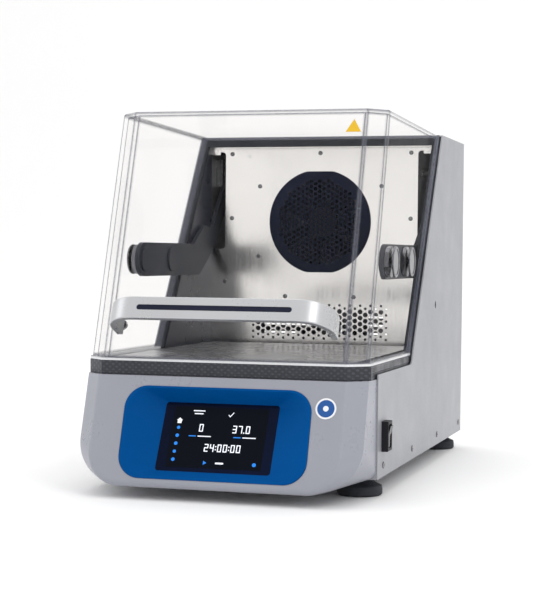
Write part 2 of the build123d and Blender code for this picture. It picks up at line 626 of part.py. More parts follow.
def belt_loop(extra):
    """Outline of a belt round both pulleys, grown by extra."""
    r1, r2 = PULLEY_R + extra, MOTOR_PULLEY_R + extra
    span = MOTOR_Y - DRIVE_Y
    turn = (PULLEY_R - MOTOR_PULLEY_R) / span
    cx, cy = sqrt(1 - turn * turn), turn
    side = polygon((-r1 * cx, DRIVE_Y + r1 * cy), (-r2 * cx, MOTOR_Y + r2 * cy),
                   (r2 * cx, MOTOR_Y + r2 * cy), (r1 * cx, DRIVE_Y + r1 * cy))
    return side + Pos(0, DRIVE_Y) * Circle(r1) + Pos(0, MOTOR_Y) * Circle(r2)


belt_face = belt_loop(BELT_GAP + BELT_T) - belt_loop(BELT_GAP)
pieces["drive_belt"] = extrude(Plane.XY.offset(76.2) * belt_face, 13.6)

spindle = Pos(0, MOTOR_Y, 0) * pulley(MOTOR_PULLEY_R, 5.0) + rod_z(0, MOTOR_Y, 66, 150, 6)
pieces["motor_spindle"] = spindle
drive_motor = rod_z(0, MOTOR_Y, 100, 196, 48) - rod_z(0, MOTOR_Y, 90, 152, 6 + RUN)
drive_motor += rod_z(0, MOTOR_Y, 196, 204, 30)
pieces["drive_motor"] = drive_motor
mount = block(-75, 75, MOTOR_Y - 60, MOTOR_Y + 60, 95, 100) - rod_z(0, MOTOR_Y, 90, 105, 20)
for x in (-68, 68):
    for y in (-52, 52):
        mount += rod_z(x, MOTOR_Y + y, FOOT_H + SHEET, 95, 6)
pieces["motor_mount"] = mount

# platform, its carrier and the bearings the crank pins run in
carrier = block(-140, 140, DRIVE_Y - 165 - ECCENTRICITY, DRIVE_Y + 165 - ECCENTRICITY, *CARRIER_Z)
platform_y = DRIVE_Y - ECCENTRICITY
for sx in (-1, 1):
    for sy in (-1, 1):
        window_x = span(sx * 45, sx * 85)
        window_y = span(platform_y + sy * 50, platform_y + sy * 130)
        carrier -= block(*window_x, *window_y, 150, 180)
carrier -= rod_z(0, platform_y, 150, 180, PIN_BEARING_R)
rings = [rod_z(0, platform_y, *CARRIER_Z, PIN_BEARING_R) - rod_z(0, platform_y, 150, 180, PIN_R + RUN)]
for x, y in IDLERS:
    carrier -= rod_z(x, y - ECCENTRICITY, 150, 180, IDLER_PIN_BEARING_R)
    rings.append(rod_z(x, y - ECCENTRICITY, *CARRIER_Z, IDLER_PIN_BEARING_R)
                 - rod_z(x, y - ECCENTRICITY, 150, 180, IDLER_PIN_R + RUN))
pieces["platform_bearings"] = group(rings)

deck = extrude(Plane.XY.offset(CARRIER_Z[1]) * Pos(0, platform_y) * RectangleRounded(*PLATFORM[:2], 14),
               PLATFORM[2])
CLAMP_PATTERNS = [(80.0, 80.0), (160.0, 200.0), (280.0, 360.0)]
CLAMP_HOLE_R = 2.5
for width, depth in CLAMP_PATTERNS:
    for sx in (-0.5, 0.5):
        for sy in (-0.5, 0.5):
            spot = (sx * width, platform_y + sy * depth)
            deck -= rod_z(*spot, 160, 180, CLAMP_HOLE_R)
            carrier -= rod_z(*spot, 164, 172, CLAMP_HOLE_R)
platform_screws = []
for sx in (-1, 1):
    for sy in (-1, 1):
        spot = (sx * 125, platform_y + sy * 95)
        deck -= rod_z(*spot, 160, 180, 2.5) + rod_z(*spot, PLATFORM_TOP - 2.6, 180, 5.2)
        carrier -= rod_z(*spot, 161, 172, 2.5)
        head = rod_z(*spot, PLATFORM_TOP - 2.6, PLATFORM_TOP - 0.2, 5.0)
        head -= Pos(*spot, PLATFORM_TOP - 0.2) * extrude(RegularPolygon(2.5, 6), 1.2, both=True)
        platform_screws.append(head + rod_z(*spot, 161, PLATFORM_TOP - 2.6, 2.5))
pieces["platform"] = deck
pieces["platform_carrier"] = carrier
pieces["platform_screws"] = group(platform_screws)


# ---- power ------------------------------------------------------------------------------
supply = block(-185, -92, 450, 610, 34, 92)
for index in range(8):
    y = 465 + index * 17
    supply -= block(-170, -107, y, y + 6, 90.5, 93)
for x, y in ((-175, 460), (-102, 460), (-175, 600), (-102, 600)):
    supply += rod_z(x, y, FOOT_H + SHEET, 34, 4)
pieces["power_supply"] = supply

inlet = block(INLET_X - 24, INLET_X + 24, 598, REAR_Y - 0.5, INLET_Z - 14, INLET_Z + 14)
inlet -= block(INLET_X - 13, INLET_X + 13, REAR_Y - 17, REAR_Y + 2, INLET_Z - 9, INLET_Z + 9)
pieces["power_inlet"] = inlet
blades = []
for x, z in ((-7, 1), (7, 1), (0, 4.5)):
    blades.append(block(INLET_X + x - 1, INLET_X + x + 1, REAR_Y - 17, REAR_Y - 3,
                        INLET_Z + z - 2, INLET_Z + z + 2))
pieces["inlet_blades"] = group(blades)

SWITCH_X = (174.0, HALF_W + SWITCH_PROUD)
SWITCH_PIVOT = (199.0, 79.5)
SWITCH_TILT = 7.0
SWITCH_RIM = 4.0
ROCKER_MARGIN = 5.0
PIN = 2.0
body = block(*SWITCH_X, *SWITCH_Y, *SWITCH_Z)
body = fillet(body.edges().group_by(Axis.X)[-1], 1.2)
body -= block(189, SWITCH_X[1] + 1, SWITCH_Y[0] + SWITCH_RIM, SWITCH_Y[1] - SWITCH_RIM,
              SWITCH_Z[0] + SWITCH_RIM, SWITCH_Z[1] - SWITCH_RIM)
body -= rod_y(SWITCH_Y[0] + 2.5, SWITCH_Y[1] - 2.5, *SWITCH_PIVOT, PIN + RUN)
pieces["switch_housing"] = body
rocker_face = Rot(0, 0, -SWITCH_TILT) * polygon((-3, -14), (5.5, -14), (4, 0), (5.5, 14), (-3, 14))
rocker_plane = Plane(origin=(SWITCH_PIVOT[0], SWITCH_Y[1] - ROCKER_MARGIN, SWITCH_PIVOT[1]),
                     x_dir=(1, 0, 0), z_dir=(0, -1, 0))
rocker = extrude(rocker_plane * rocker_face, SWITCH_Y[1] - SWITCH_Y[0] - 2 * ROCKER_MARGIN)
rocker += rod_y(SWITCH_Y[0] + 3, SWITCH_Y[1] - 3, *SWITCH_PIVOT, PIN)
pieces["switch_rocker"] = rocker


# ---- write every piece -----------------------------------------------------------------
for name, shape in pieces.items():
    export_step(Pos(-ORIGIN_X, -ORIGIN_Y, 0) * shape, f"parts/{name}.step")
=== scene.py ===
import math

import bpy
from mathutils import Matrix, Vector


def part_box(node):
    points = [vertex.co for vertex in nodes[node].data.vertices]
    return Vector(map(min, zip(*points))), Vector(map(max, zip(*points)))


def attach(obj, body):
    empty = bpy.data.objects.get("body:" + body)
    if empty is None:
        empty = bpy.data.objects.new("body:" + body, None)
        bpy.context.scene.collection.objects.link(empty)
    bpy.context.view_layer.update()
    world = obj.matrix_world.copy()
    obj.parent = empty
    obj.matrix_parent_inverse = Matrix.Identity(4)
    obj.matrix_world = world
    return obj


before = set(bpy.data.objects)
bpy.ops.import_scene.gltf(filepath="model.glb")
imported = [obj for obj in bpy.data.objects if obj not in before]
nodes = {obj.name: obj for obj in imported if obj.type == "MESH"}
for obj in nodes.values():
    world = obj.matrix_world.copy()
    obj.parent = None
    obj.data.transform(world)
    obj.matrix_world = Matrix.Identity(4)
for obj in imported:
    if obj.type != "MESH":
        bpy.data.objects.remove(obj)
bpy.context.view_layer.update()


# ---- materials ---------------------------------------------------------------
class Material:
    """A node material under construction."""

    def __init__(self, name):
        self.data = bpy.data.materials.new(name)
        self.data.use_nodes = True
        self.tree = self.data.node_tree
        self.tree.nodes.clear()
        self.output = self.add("OutputMaterial")
        self.place = self.add("TexCoord").outputs["Object"]

    def add(self, kind, **settings):
        node = self.tree.nodes.new("ShaderNode" + kind)
        for key, value in settings.items():
            setattr(node, key, value)
        return node

    def link(self, a, b):
        self.tree.links.new(a, b)

    def mapped(self, stretch=(1, 1, 1), turn=(0, 0, 0)):
        node = self.add("Mapping")
        node.inputs["Scale"].default_value = stretch
        node.inputs["Rotation"].default_value = turn
        self.link(self.place, node.inputs["Vector"])
        return node.outputs["Vector"]

    def noise(self, scale, detail=4.0, rough=0.55, stretch=(1, 1, 1), turn=(0, 0, 0)):
        node = self.add("TexNoise")
        node.inputs["Scale"].default_value = scale
        node.inputs["Detail"].default_value = detail
        node.inputs["Roughness"].default_value = rough
        self.link(self.mapped(stretch, turn), node.inputs["Vector"])
        return node.outputs["Fac"]

    def ramp(self, value, low, high, out_low=0.0, out_high=1.0):
        node = self.add("MapRange")
        node.inputs["From Min"].default_value = low
        node.inputs["From Max"].default_value = high
        node.inputs["To Min"].default_value = out_low
        node.inputs["To Max"].default_value = out_high
        self.link(value, node.inputs["Value"])
        return node.outputs["Result"]

    def math(self, operation, a, b):
        node = self.add("Math", operation=operation)
        for socket, value in zip(node.inputs, (a, b)):
            if isinstance(value, (int, float)):
                socket.default_value = value
            else:
                self.link(value, socket)
        return node.outputs[0]

    def blend(self, factor, a, b):
        node = self.add("Mix", data_type="RGBA")
        self.link(factor, node.inputs[0])
        for socket, value in ((node.inputs[6], a), (node.inputs[7], b)):
            if isinstance(value, (tuple, list)):
                socket.default_value = (*value[:3], 1)
            else:
                self.link(value, socket)
        return node.outputs[2]

    def bump(self, height, strength, distance, normal=None):
        node = self.add("Bump")
        node.inputs["Strength"].default_value = strength
        node.inputs["Distance"].default_value = distance
        self.link(height, node.inputs["Height"])
        if normal is not None:
            self.link(normal, node.inputs["Normal"])
        return node.outputs["Normal"]

    def part(self, vector, axis):
        node = self.add("SeparateXYZ")
        self.link(vector, node.inputs[0])
        return node.outputs[axis]

    def soft_edges(self, radius):
        node = self.add("Bevel", samples=4)
        node.inputs["Radius"].default_value = radius
        return node.outputs["Normal"]

    def edge_mask(self, radius, flat=0.99, sharp=0.8):
        """1 along sharp edges, 0 on flat ground."""
        product = self.add("VectorMath", operation="DOT_PRODUCT")
        self.link(self.soft_edges(radius), product.inputs[0])
        self.link(self.add("NewGeometry").outputs["Normal"], product.inputs[1])
        return self.ramp(product.outputs["Value"], flat, sharp)


def shade(base, amount):
    return tuple(min(1.0, channel * amount) for channel in base)


def finish(name, color, rough, metallic=0.0, wear=None, grain=900.0, depth=0.00006, grain_power=0.25,
           stretch=(1, 1, 1), mottle=0.06, edge=0.0006, specular=0.5, coat=0.0, smudge=18.0):
    """An opaque finish: mottled colour, handled roughness, fine grain and worn edges."""
    m = Material(name)
    shader = m.add("BsdfPrincipled")
    drift = m.ramp(m.noise(5.0, 5.0), 0.35, 0.65)
    ground = m.blend(drift, shade(color, 1 - mottle), shade(color, 1 + mottle))
    specks = m.ramp(m.noise(grain * 0.35, 2.0, 0.6, stretch), 0.66, 0.85, 0.0, 0.1)
    ground = m.blend(specks, ground, shade(color, 0.86))
    worn = m.math("MULTIPLY", m.edge_mask(edge * 1.6), m.ramp(m.noise(120.0, 6.0), 0.42, 0.62))
    worn = m.math("MULTIPLY", worn, 0.22)
    ground = m.blend(worn, ground, wear or shade(color, 1.35))
    m.link(ground, shader.inputs["Base Color"])
    handled = m.ramp(m.noise(smudge, 6.0, 0.6), 0.3, 0.72, rough[0], rough[1])
    streak = m.ramp(m.noise(grain * 0.2, 3.0, 0.5, stretch), 0.3, 0.7, -0.03, 0.03)
    m.link(m.math("ADD", handled, streak), shader.inputs["Roughness"])
    shader.inputs["Metallic"].default_value = metallic
    shader.inputs["Specular IOR Level"].default_value = specular
    shader.inputs["Coat Weight"].default_value = coat
    shader.inputs["Coat Roughness"].default_value = 0.08
    fine = m.noise(grain, 3.0, 0.6, stretch)
    normal = m.bump(fine, grain_power, depth, m.soft_edges(edge))
    m.link(normal, shader.inputs["Normal"])
    m.link(shader.outputs[0], m.output.inputs["Surface"])
    return m


def brushed(name, color, rough, direction, power=0.3, mottle=0.05):
    """Sheet metal with a directional brushed grain."""
    across = {"x": (0.02, 1, 1), "z": (1, 1, 0.02)}[direction]
    return finish(name, color, rough, metallic=1.0, wear=shade(color, 1.15), grain=1400.0, depth=0.00003,
                  grain_power=power, stretch=across, mottle=mottle, edge=0.0004, smudge=9.0)


def rubber(name, color=(0.016, 0.018, 0.023)):
    return finish(name, color, (0.55, 0.8), wear=shade(color, 2.2), grain=1200.0, depth=0.00012,
                  grain_power=0.35, mottle=0.15, edge=0.001, specular=0.2, smudge=30.0)


def knurled_rubber(name):
    """Gasket rubber with a moulded pattern of small raised studs, their tops coloured lighter as a
    painted highlight.
    """
    m = Material(name)
    shader = m.add("BsdfPrincipled")
    waves = []
    for turn in (0.9, -0.9):
        wave = m.add("TexWave", wave_type="BANDS", bands_direction="X", wave_profile="SIN")
        wave.inputs["Scale"].default_value = 56.0
        m.link(m.mapped((1, 1, 1), (0, turn, 0)), wave.inputs["Vector"])
        waves.append(wave.outputs["Fac"])
    studs = m.ramp(m.math("MULTIPLY", waves[0], waves[1]), 0.25, 0.7)
    # painted highlight: the raised studs are coloured lighter to stand for the glints on their tops
    color = m.blend(studs, (0.016, 0.018, 0.026), (0.042, 0.046, 0.062))
    dust = m.ramp(m.noise(60.0, 6.0, 0.7), 0.55, 0.75, 0.0, 0.16)
    m.link(m.blend(dust, color, (0.1, 0.105, 0.12)), shader.inputs["Base Color"])
    m.link(m.ramp(m.noise(40.0, 4.0), 0.3, 0.7, 0.28, 0.5), shader.inputs["Roughness"])
    m.link(m.bump(studs, 0.45, 0.0012, m.soft_edges(0.0012)), shader.inputs["Normal"])
    m.link(shader.outputs[0], m.output.inputs["Surface"])
    return m


LID_RIM_TOP = 0.177  # the lid's lower rim is coloured pale up to this height, a painted highlight


def clear_acrylic(name):
    """Thin clear sheet: it lets light straight through, and shows scratches, smears and reflections; dark
    bands on its edges, fillets and grazing faces are painted shade, and a pale band on its lower rim is a
    painted highlight.
    """
    m = Material(name)
    sheet = m.add("BsdfPrincipled")
    # painted highlight: the lower rim is blended to a pale colour; elsewhere the sheet's dark blue-grey
    # is the colour of the painted edge shade
    rim_highlight = m.ramp(m.part(m.place, 2), LID_RIM_TOP, LID_RIM_TOP - 0.0015)
    m.link(m.blend(rim_highlight, (0.1, 0.105, 0.135), (0.8, 0.81, 0.83)), sheet.inputs["Base Color"])
    m.link(m.ramp(m.noise(14.0, 7.0, 0.6), 0.3, 0.7, 0.04, 0.14), sheet.inputs["Roughness"])
    # painted shade: faces seen at a grazing angle turn part way to the dark sheet
    facing = m.add("LayerWeight")
    facing.inputs["Blend"].default_value = 0.35
    grazing_shade = m.ramp(facing.outputs["Facing"], 0.8, 1.0, 0.002, 0.5)
    # painted shade: dark bands along sharp edges and along the rounded fillets of the top, joined with
    # part of the rim highlight
    painted_edges = m.math("MULTIPLY", m.edge_mask(0.006, 0.9999, 0.99), 0.92)
    tilt = m.part(m.add("TexCoord").outputs["Normal"], 2)
    fillet_shade = m.math("MULTIPLY", m.ramp(tilt, 0.34, 0.5, 0.0, 0.42), m.ramp(tilt, 0.995, 0.95))
    painted_edges = m.math("MAXIMUM", m.math("MAXIMUM", painted_edges, fillet_shade), m.math("MULTIPLY", rim_highlight, 0.48))
    scratches = m.ramp(m.noise(420.0, 2.0, 0.4, (0.03, 1, 1), (0.0, 0.6, 0.4)), 0.7, 0.85, 0.0, 0.03)
    smears = m.ramp(m.noise(7.0, 8.0, 0.65), 0.5, 0.8, 0.0, 0.012)
    # real scratches and smears, added to the painted shade and the painted highlight
    marks_and_painted_light = m.math("ADD", m.math("ADD", grazing_shade, painted_edges), m.math("ADD", scratches, smears))
    see_through = m.add("BsdfTransparent")
    see_through.inputs["Color"].default_value = (0.99, 0.987, 0.985, 1)
    body = m.add("MixShader")
    m.link(m.math("MINIMUM", marks_and_painted_light, 0.9), body.inputs[0])
    m.link(see_through.outputs[0], body.inputs[1])
    m.link(sheet.outputs[0], body.inputs[2])
    gloss = m.add("BsdfGlossy")
    gloss.inputs["Color"].default_value = (1, 1, 1, 1)
    gloss.inputs["Roughness"].default_value = 0.03
    ripple = m.bump(m.noise(9.0, 3.0), 0.12, 0.002)
    m.link(ripple, gloss.inputs["Normal"])
    fresnel = m.add("Fresnel")
    fresnel.inputs["IOR"].default_value = 1.49
    whole = m.add("MixShader")
    m.link(m.ramp(fresnel.outputs[0], 0.04, 1.0, 0.004, 0.03), whole.inputs[0])
    m.link(body.outputs[0], whole.inputs[1])
    m.link(gloss.outputs[0], whole.inputs[2])
    m.link(whole.outputs[0], m.output.inputs["Surface"])
    return m


def glowing(name, color, strength):
    """Lit pixels of the display: a fine grid over a slightly uneven backlight."""
    m = Material(name)
    shader = m.add("BsdfPrincipled")
    shader.inputs["Base Color"].default_value = (*shade(color, 0.2), 1)
    shader.inputs["Roughness"].default_value = 0.3
    shader.inputs["Specular IOR Level"].default_value = 0.05
    uneven = m.ramp(m.noise(30.0, 3.0), 0.3, 0.7, 0.85, 1.0)
    grid = m.ramp(m.noise(2600.0, 1.0), 0.3, 0.7, 0.9, 1.0)
    glow = m.blend(m.math("MULTIPLY", uneven, grid), shade(color, 0.5), color)
    m.link(glow, shader.inputs["Emission Color"])
    shader.inputs["Emission Strength"].default_value = strength
    m.link(shader.outputs[0], m.output.inputs["Surface"])
    return m


PAINT = (0.285, 0.29, 0.315)
paint = finish("paint_light_grey", PAINT, (0.34, 0.46), wear=(0.75, 0.75, 0.76), grain=1500.0,
               depth=0.00008, grain_power=0.3, mottle=0.03, edge=0.0008, coat=0.1)
moulded_grey = finish("moulded_grey", (0.295, 0.303, 0.35), (0.26, 0.38), wear=(0.72, 0.73, 0.76),
                      grain=1100.0, depth=0.00004, grain_power=0.2, mottle=0.025, edge=0.0008, coat=0.15)
handle_grey = finish("handle_satin", (0.53, 0.535, 0.55), (0.26, 0.36), metallic=0.75,
                     wear=(0.7, 0.7, 0.72), grain=1300.0, depth=0.00003, mottle=0.025, edge=0.0005)
blue = finish("display_blue", (0.0, 0.07, 0.262), (0.38, 0.5), wear=(0.02, 0.13, 0.38), grain=1200.0,
              depth=0.00005, mottle=0.05, edge=0.0008, specular=0.03)
screen_black = finish("screen_black", (0.003, 0.006, 0.022), (0.08, 0.16), wear=(0.03, 0.03, 0.04),
                      grain=2200.0, depth=0.00001, mottle=0.2, edge=0.0004, specular=0.05)
polished = brushed("polished_stainless", (0.86, 0.845, 0.825), (0.13, 0.24), "z", power=0.16, mottle=0.04)
floor_steel = brushed("floor_stainless", (0.3, 0.3, 0.315), (0.18, 0.3), "x")
platform_metal = brushed("platform_anodised", (0.3, 0.305, 0.32), (0.2, 0.34), "x")
turned = brushed("turned_steel", (0.55, 0.55, 0.56), (0.2, 0.35), "z")
chrome = finish("chrome", (0.82, 0.82, 0.83), (0.06, 0.16), metallic=1.0, wear=(0.9, 0.9, 0.9),
                grain=1600.0, depth=0.00002, mottle=0.03, edge=0.0004, smudge=60.0)
cast = finish("cast_metal", (0.3, 0.3, 0.31), (0.4, 0.6), metallic=0.8, grain=700.0, depth=0.0002,
              mottle=0.12)
dark_coat = finish("arm_dark_coat", (0.033, 0.036, 0.046), (0.32, 0.46), wear=(0.16, 0.16, 0.18),
                   grain=1000.0, depth=0.0001, mottle=0.12, edge=0.001, specular=0.08)
mesh_black = finish("mesh_dark", (0.006, 0.009, 0.024), (0.55, 0.7), wear=(0.02, 0.025, 0.04),
                    grain=1200.0, depth=0.00006, mottle=0.2, edge=0.0003, specular=0.08)
# painted shade: the stainless chamber side walls are coloured near black to stand for the dark
# reflections they show
shaded_side_liner = finish("shaded_side_liner", (0.036, 0.039, 0.054), (0.27, 0.33), metallic=0.2,
                    wear=(0.08, 0.08, 0.1), grain=1200.0, depth=0.00004, mottle=0.06, edge=0.0004,
                    specular=0.3)
dark_screw = finish("dark_screw", (0.2, 0.2, 0.21), (0.15, 0.3), metallic=1.0, wear=(0.6, 0.6, 0.6),
                    grain=1500.0, depth=0.00003, mottle=0.1, edge=0.0004)
# painted shade: chrome darkened to stand for the dark surroundings that the clamp caps and arm bushes
# reflect
shaded_chrome = finish("shaded_chrome", (0.16, 0.16, 0.175), (0.1, 0.22), metallic=1.0, wear=(0.85, 0.85, 0.86),
                    grain=1500.0, depth=0.00002, mottle=0.06, edge=0.0006, smudge=60.0)
black_plastic = finish("black_plastic", (0.012, 0.012, 0.015), (0.35, 0.5), wear=(0.07, 0.07, 0.08),
                       grain=900.0, depth=0.0001, mottle=0.2, edge=0.0006, specular=0.15)
gloss_black = finish("gloss_black", (0.012, 0.012, 0.014), (0.12, 0.22), wear=(0.06, 0.06, 0.07),
                     grain=1500.0, depth=0.00003, mottle=0.2, edge=0.0005, specular=0.2)
enamel = finish("motor_enamel", (0.04, 0.042, 0.047), (0.35, 0.5), wear=(0.25, 0.25, 0.25), grain=800.0,
                depth=0.0001, mottle=0.12)
board_green = finish("circuit_board", (0.01, 0.09, 0.035), (0.25, 0.4), wear=(0.1, 0.2, 0.1), grain=500.0,
                     depth=0.0001, mottle=0.25)
burnt = finish("heater_tube", (0.2, 0.17, 0.15), (0.3, 0.5), metallic=0.9, wear=(0.3, 0.25, 0.3),
               grain=600.0, depth=0.0001, mottle=0.25)
brass = finish("contact_brass", (0.6, 0.45, 0.2), (0.2, 0.35), metallic=1.0, mottle=0.1)
film_white = finish("film_white", (0.82, 0.83, 0.85), (0.2, 0.3), grain=1500.0, depth=0.00003,
                    mottle=0.03)
film_blue = finish("film_blue", (0.0, 0.075, 0.3), (0.2, 0.3), grain=1500.0, depth=0.00003, mottle=0.06)
film_yellow = finish("film_yellow", (0.75, 0.45, 0.01), (0.25, 0.36), grain=1500.0, depth=0.00003,
                     mottle=0.06)
black_rubber = rubber("black_rubber")
grip_rubber = rubber("grip_rubber", (0.010, 0.012, 0.030))
foot_rubber = rubber("foot_rubber", (0.034, 0.036, 0.043))
base_rubber = knurled_rubber("gasket_rubber")
acrylic = clear_acrylic("clear_acrylic")

FINISHES = {
    paint: ("side_panel_left", "side_panel_right", "rear_panel", "top_panel", "base_pan"),
    moulded_grey: ("front_cover",),
    handle_grey: ("lid_handle",),
    blue: ("display_bezel",),
    screen_black: ("touchscreen",),
    polished: ("chamber_back_wall", "chamber_ceiling", "slot_clips"),
    shaded_side_liner: ("chamber_wall_left", "chamber_wall_right"),
    floor_steel: ("chamber_floor",),
    platform_metal: ("platform", "platform_carrier"),
    turned: ("drive_crank", "idler_crank_front", "idler_crank_rear", "motor_spindle", "driven_pulley",
             "hinge_shaft", "hinge_bearings", "platform_bearings", "power_supply"),
    chrome: ("handle_screws", "platform_screws", "temperature_probe"),
    shaded_chrome: ("arm_bushes", "clamp_caps"),
    dark_screw: ("wall_screws", "side_screws"),
    cast: ("main_bearing", "idler_bearings"),
    dark_coat: ("hinge_arm_left", "hinge_arm_right", "clamp_bolts"),
    mesh_black: ("fan_grille",),
    black_plastic: ("switch_housing", "power_inlet", "fan_impeller"),
    gloss_black: ("switch_rocker",),
    enamel: ("fan_motor", "fan_bracket", "drive_motor", "motor_mount", "drive_frame"),
    board_green: ("control_board",),
    burnt: ("heater_element",),
    brass: ("inlet_blades",),
    film_white: ("round_label",),
    film_yellow: ("lid_marker",),
    black_rubber: ("seam_gasket", "drive_belt"),
    foot_rubber: ("rubber_feet",),
    grip_rubber: ("handle_inlay",),
    base_rubber: ("base_gasket",),
    acrylic: ("lid_shell",),
}
for material, names in FINISHES.items():
    for name in names:
        mesh = nodes[name].data
        mesh.materials.clear()
        mesh.materials.append(material.data)


# ---- pieces ---------------------------------------------------------------------
def piece(name, verts, faces, material, body, slot, smooth=False):
    mesh = bpy.data.meshes.new(name)
    mesh.from_pydata([tuple(v) for v in verts], [], faces)
    mesh.validate()
    mesh.materials.append(material.data)
    for face in mesh.polygons:
        face.use_smooth = smooth
    item = bpy.data.objects.new(name, mesh)
    bpy.context.scene.collection.objects.link(item)
    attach(item, body)
    return item


# the display's plane, found from the screen node's own box
screen_low, screen_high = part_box("touchscreen")
GLASS_LEAN = math.radians(28.6)
GLASS_H = 0.095
across = Vector((1, 0, 0))
up = Vector((0, math.sin(GLASS_LEAN), math.cos(GLASS_LEAN)))
out = Vector((0, -math.cos(GLASS_LEAN), math.sin(GLASS_LEAN)))
top_middle = Vector(((screen_low.x + screen_high.x) / 2,
                     screen_low.y + GLASS_H * math.sin(GLASS_LEAN), screen_high.z))
centre = top_middle - up * GLASS_H / 2


def on_screen(u, v, lift):
    return centre + across * u + up * v + out * lift


def flat_shape(points, lift, thickness=0.00012):
    """A thin raised plate with the given outline on the screen."""
    count = len(points)
    top = [on_screen(u, v, lift + thickness) for u, v in points]
    base = [on_screen(u, v, lift) for u, v in points]
    faces = [tuple(range(count)), tuple(range(2 * count - 1, count - 1, -1))]
    faces += [(i, i + count, (i + 1) % count + count, (i + 1) % count) for i in range(count)]
    return top + base, faces


def merged(shapes):
    verts, faces = [], []
    for v, f in shapes:
        faces += [tuple(i + len(verts) for i in face) for face in f]
        verts += v
    return verts, faces


def ring_points(u, v, r, count=24):
    return [(u + r * math.cos(2 * math.pi * i / count), v + r * math.sin(2 * math.pi * i / count))
            for i in range(count)]


def round_bar(u, v, w, h, r):
    steps = 5
    points = []
    for sx, sy, start in ((1, 1, 0), (-1, 1, 90), (-1, -1, 180), (1, -1, 270)):
        for i in range(steps + 1):
            angle = math.radians(start + 90 * i / steps)
            points.append((u + sx * (w / 2 - r) + r * math.cos(angle),
                           v + sy * (h / 2 - r) + r * math.sin(angle)))
    return points


SEGMENTS = {"0": "abcdef", "2": "abged", "3": "abgcd", "4": "fgbc", "7": "abc"}
FIGURE_LIFT = 0.00022
STROKE_STEP = 0.000004  # each stroke stands this much prouder, so that no two faces coincide


def digit(char, u, v, h):
    """One figure drawn with seven rounded strokes."""
    w, t = h * 0.52, h * 0.125
    strokes = {"a": (0, h / 2 - t / 2, w, t), "g": (0, 0, w, t), "d": (0, -h / 2 + t / 2, w, t),
               "f": (-w / 2 + t / 2, h / 4, t, h / 2), "b": (w / 2 - t / 2, h / 4, t, h / 2),
               "e": (-w / 2 + t / 2, -h / 4, t, h / 2), "c": (w / 2 - t / 2, -h / 4, t, h / 2)}
    shapes = []
    for key in SEGMENTS[char]:
        du, dv, sw, sh = strokes[key]
        lift = FIGURE_LIFT + STROKE_STEP * "abcdefg".index(key)
        shapes.append(flat_shape(round_bar(u + du, v + dv, sw, sh, t * 0.45), lift))
    return shapes


def number(text, u, v, h):
    """A run of figures; a full stop and a colon are drawn as dots."""
    shapes, x = [], u
    for char in text:
        if char in ".:":
            spots = (-0.42,) if char == "." else (-0.2, 0.2)
            for spot in spots:
                dot = ring_points(x - h * 0.12, v + spot * h, h * 0.085, 12)
                shapes.append(flat_shape(dot, FIGURE_LIFT))
            x += h * 0.24
        else:
            shapes += digit(char, x + h * 0.12, v, h)
            x += h * 0.72
    return shapes


lit_white = glowing("display_white", (0.9, 0.93, 1.0), 1.15)
lit_blue = glowing("display_cyan_blue", (0.03, 0.24, 0.8), 1.1)
lit_dim = glowing("display_panel", (0.006, 0.009, 0.018), 0.3)

# the display's layout: u to the right and v up from the middle of the glass
FIGURE_H = 0.0105
UNDERLINE_V, UNDERLINE_H = 0.0015, 0.0013
BOTTOM_ROW_V = -0.0345
BAR_ROUND = 0.0006
CHECK_MARK = [(0.0105, 0.0325), (0.0125, 0.0305), (0.0165, 0.036), (0.0172, 0.0353),
              (0.0125, 0.029), (0.0098, 0.0318)]
HOUSE_ICON = [(-0.0585, 0.0225), (-0.0545, 0.0262), (-0.0505, 0.0225), (-0.0518, 0.0225),
              (-0.0518, 0.0185), (-0.0572, 0.0185), (-0.0572, 0.0225)]
START_ICON = [(-0.0135, -0.0372), (-0.0135, -0.0318), (-0.009, BOTTOM_ROW_V)]

white_shapes = number("0", -0.025, 0.013, FIGURE_H)
white_shapes += number("37.0", 0.02, 0.0125, FIGURE_H)
white_shapes += number("24:00:00", -0.014, -0.014, FIGURE_H)
white_outlines = [CHECK_MARK, HOUSE_ICON]
white_outlines += [round_bar(-0.03, v, w, 0.0014, BAR_ROUND)
                   for w, v in ((0.016, 0.0365), (0.012, 0.0325))]
white_outlines += [round_bar(u, UNDERLINE_V, 0.018, UNDERLINE_H, BAR_ROUND) for u in (-0.018, 0.042)]
white_outlines.append(round_bar(0.008, BOTTOM_ROW_V, 0.011, 0.0022, 0.001))
white_shapes += [flat_shape(outline, FIGURE_LIFT) for outline in white_outlines]
piece("display_figures", *merged(white_shapes), lit_white, "housing", "touchscreen")

blue_outlines = [ring_points(-0.0545, v, 0.0024, 6 + 6 * (index % 3))
                 for index, v in enumerate((0.0125, 0.0015, -0.0095, -0.0205, -0.0315))]
blue_outlines += [START_ICON, ring_points(0.054, BOTTOM_ROW_V, 0.0026)]
blue_outlines += [round_bar(u, UNDERLINE_V, 0.01, UNDERLINE_H, BAR_ROUND) for u in (-0.034, 0.026)]
blue_shapes = [flat_shape(outline, FIGURE_LIFT) for outline in blue_outlines]
piece("display_icons", *merged(blue_shapes), lit_blue, "housing", "touchscreen")

panel_shapes = [flat_shape(round_bar(0, 0, 0.127, 0.084, 0.001), 0.00002, 0.00008)]
for u, v, w, h in ((-0.0545, 0, 0.013, 0.08), (-0.018, 0.0085, 0.05, 0.031), (0.036, 0.0085, 0.05, 0.031),
                   (0.009, -0.0165, 0.104, 0.015), (0.009, BOTTOM_ROW_V, 0.104, 0.0105)):
    panel_shapes.append(flat_shape(round_bar(u, v, w, h, 0.0012), 0.00011, 0.00006))
piece("display_tiles", *merged(panel_shapes), lit_dim, "housing", "touchscreen")


